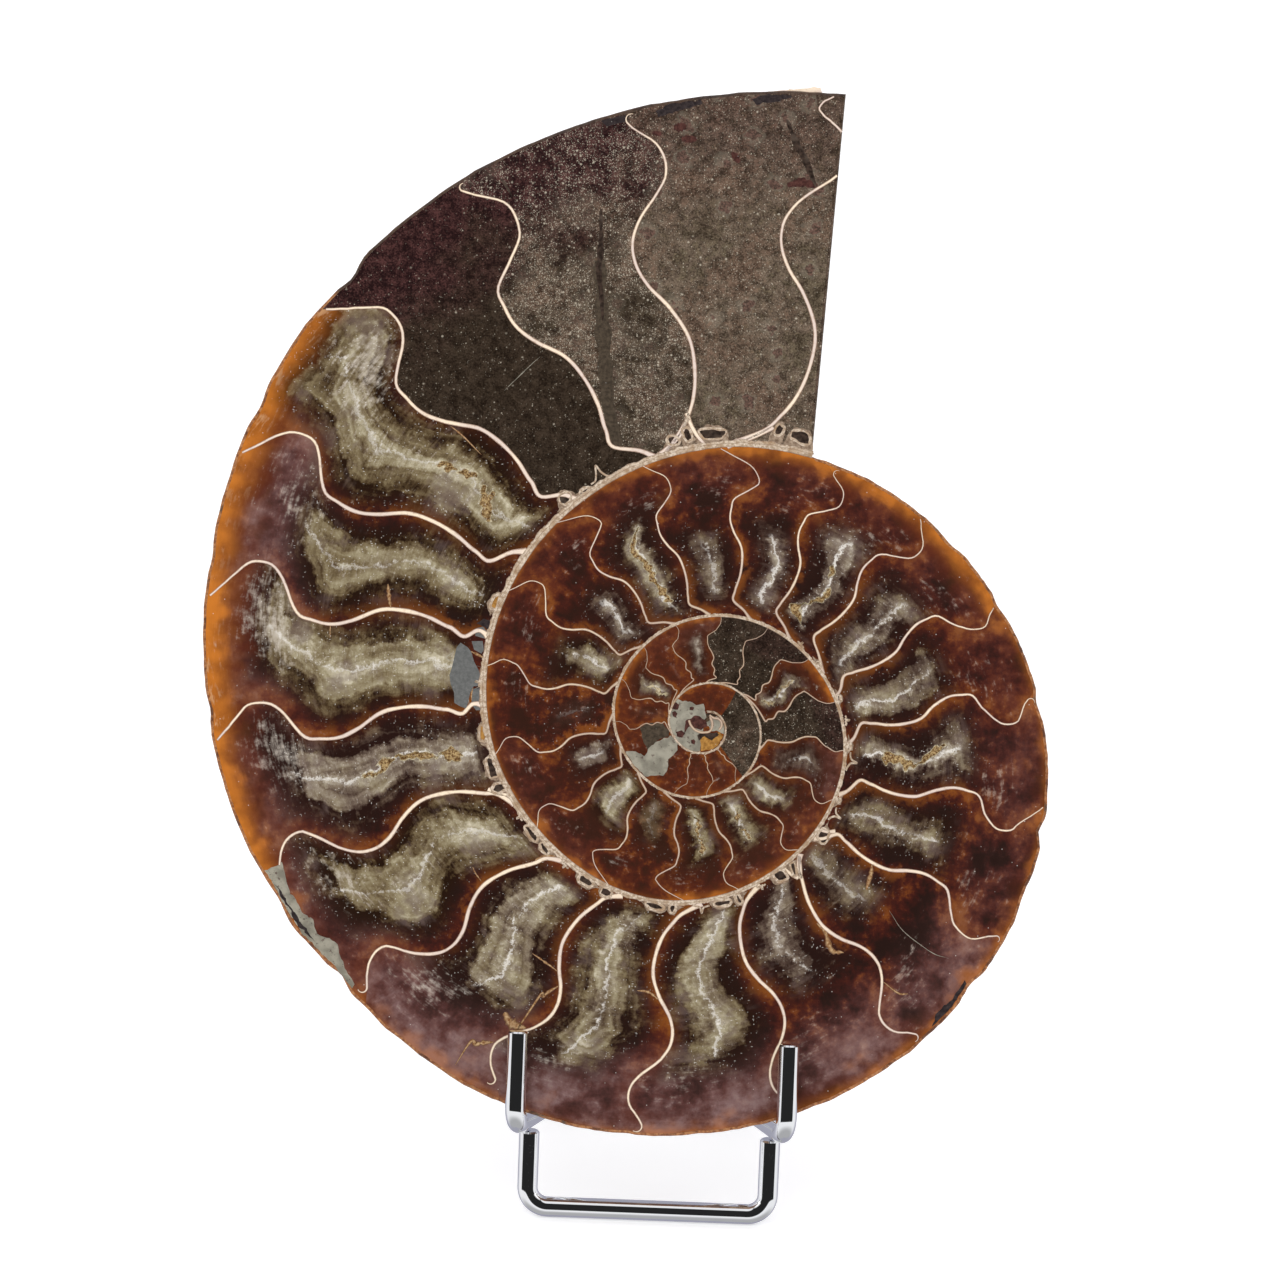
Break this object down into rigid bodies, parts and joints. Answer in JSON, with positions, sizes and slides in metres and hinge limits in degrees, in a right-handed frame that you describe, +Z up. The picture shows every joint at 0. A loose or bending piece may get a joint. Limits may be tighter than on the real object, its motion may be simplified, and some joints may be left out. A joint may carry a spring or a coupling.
{
  "type": "ammonite fossil half on a wire stand",
  "caption": "Sawn and polished half of an ammonite fossil, leaning back on the hooks and backrest of a bent chromed wire stand.",
  "frame": {"origin": "middle of the object's box, on the table that the stand's feet rest on", "axes": "+Z up, the sawn and polished face looks towards -Y and leans back 10 degrees, +X to the right of someone looking at that face"},
  "size_m": [0.1334, 0.0728, 0.1772],
  "materials": {
    "fossil_stone": "polished",
    "chromed_wire": "mirror polished"
  },
  "bodies": {
    "root": {"ammonite_half": "fossil_stone", "cradle_wire": "chromed_wire", "front_foot": "chromed_wire", "rear_leg": "chromed_wire"}
  },
  "joints": []
}
